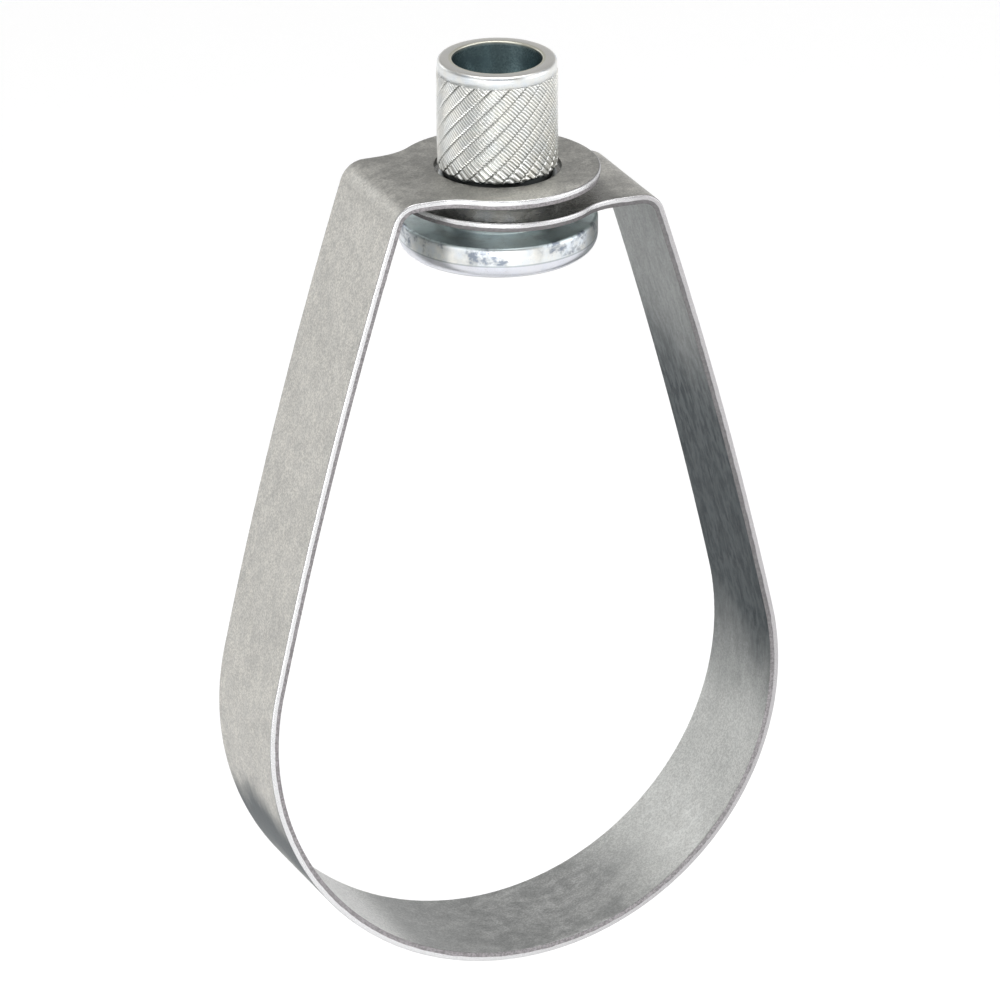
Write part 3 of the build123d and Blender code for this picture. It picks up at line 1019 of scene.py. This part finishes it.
# Camera, at the photograph's place
view = {
    "place": (-0.40106, -0.91517, 0.39166),  # metres
    "azimuth": -23.67,
    "elevation": 23.15,
    "roll": -0.28,
    "lens": 340.0,
    "sensor": 36.0,
}
camera = bpy.data.objects.new("camera", bpy.data.cameras.new("camera"))
scene.collection.objects.link(camera)
camera.location = view["place"]
camera.rotation_euler = (math.radians(90 - view["elevation"]), 0, math.radians(view["azimuth"]))
camera.rotation_euler.rotate_axis("Z", math.radians(view["roll"]))
camera.data.lens = view["lens"]
camera.data.sensor_width = view["sensor"]
camera.data.clip_start, camera.data.clip_end = 0.01, 50.0
scene.camera = camera

# Floor, lamps and surroundings
studio = {
    "floorDrop": 0.06,  # below the loop
    "floorReach": 6.0,
    "floorColour": (0.93, 0.93, 0.93, 1.0),
    "floorRoughness": 0.8,
    "floorLift": (0.13, 0.55),  # near and far
    "floorLiftFrom": (0.6, 2.2),
    "horizon": 1.0,
    "overhead": 0.38,
    "overheadFrom": (0.02, 0.42),  # up the sky, from 0 at the horizon to 1 overhead
    "lampsAim": (0.0, 0.0, -0.04),
}
softboxes = [
    {"name": "leftSoftbox", "place": (-0.75, -0.35, 0.35), "size": (0.6, 0.9), "energy": 1.2},
    {"name": "rightSoftbox", "place": (0.76, -0.5, 0.3), "size": (0.8, 1.1), "energy": 3.3},
    {"name": "frontSoftbox", "place": (-0.3, -0.69, -0.06), "size": (0.5, 0.18), "energy": 1.7},
    {"name": "topSoftbox", "place": (0.1, 0.1, 1.2), "size": (1.0, 1.0), "energy": 9.0},
    {"name": "backSoftbox", "place": (-0.56, 1.16, 0.5), "size": (0.6, 0.55), "energy": 1.3},
]


def studioFloor(s):
    level = ringLow.z * mm - s["floorDrop"]
    far = s["floorReach"]
    corners = [(-far, -far, level), (far, -far, level), (far, far, level), (-far, far, level)]
    mesh = bpy.data.meshes.new("floor")
    mesh.from_pydata(corners, [], [(0, 1, 2, 3)])
    floor = bpy.data.objects.new("floor", mesh)
    scene.collection.objects.link(floor)
    material, tree, shader = newMaterial("paleFloor", 0.0)
    shader.inputs["Base Color"].default_value = s["floorColour"]
    shader.inputs["Roughness"].default_value = s["floorRoughness"]
    shader.inputs["Emission Color"].default_value = (1.0, 1.0, 1.0, 1.0)
    rays = addNode(tree, "ShaderNodeLightPath").outputs
    seen = plus(tree, rays["Is Camera Ray"], rays["Is Glossy Ray"], rays["Is Transmission Ray"])
    place = addNode(tree, "ShaderNodeTexCoord").outputs["Object"]
    away = addNode(tree, "ShaderNodeVectorMath", {0: place}, operation="LENGTH").outputs["Value"]
    lift = ramp(tree, away, *s["floorLiftFrom"], *s["floorLift"])
    tree.links.new(times(tree, seen, lift), shader.inputs["Emission Strength"])
    # Seen through from beneath, so that the underside can be looked at too
    clear = addNode(tree, "ShaderNodeBsdfTransparent").outputs[0]
    beneath = addNode(tree, "ShaderNodeNewGeometry").outputs["Backfacing"]
    surface = addNode(tree, "ShaderNodeMixShader", {0: beneath, 1: shader.outputs[0], 2: clear}).outputs[0]
    output = next(node for node in tree.nodes if node.type == "OUTPUT_MATERIAL")
    tree.links.new(surface, output.inputs["Surface"])
    mesh.materials.append(material)


def softbox(s, name, place, size, energy):
    lamp = bpy.data.objects.new(name, bpy.data.lights.new(name, "AREA"))
    scene.collection.objects.link(lamp)
    lamp.data.shape = "RECTANGLE"
    lamp.data.size, lamp.data.size_y = size
    lamp.data.energy = energy
    lamp.location = place
    lamp.rotation_euler = (Vector(s["lampsAim"]) - Vector(place)).to_track_quat("-Z", "Y").to_euler()
    lamp.visible_camera = False


def studioWorld(s):
    world = bpy.data.worlds.new("studio")
    scene.world = world
    world.use_nodes = True
    tree = world.node_tree
    tree.nodes.clear()
    height = splitXYZ(tree, addNode(tree, "ShaderNodeTexCoord").outputs["Generated"])[2]
    level = ramp(tree, height, *s["overheadFrom"], s["horizon"], s["overhead"])
    background = addNode(tree, "ShaderNodeBackground", {"Color": (1.0, 1.0, 1.0, 1.0), "Strength": level})
    addNode(tree, "ShaderNodeOutputWorld", {"Surface": background.outputs[0]})


studioFloor(studio)
studioWorld(studio)
for lamp in softboxes:
    softbox(studio, **lamp)
print("studio set:", len(softboxes), "lamps")
scene.view_settings.view_transform = "Standard"
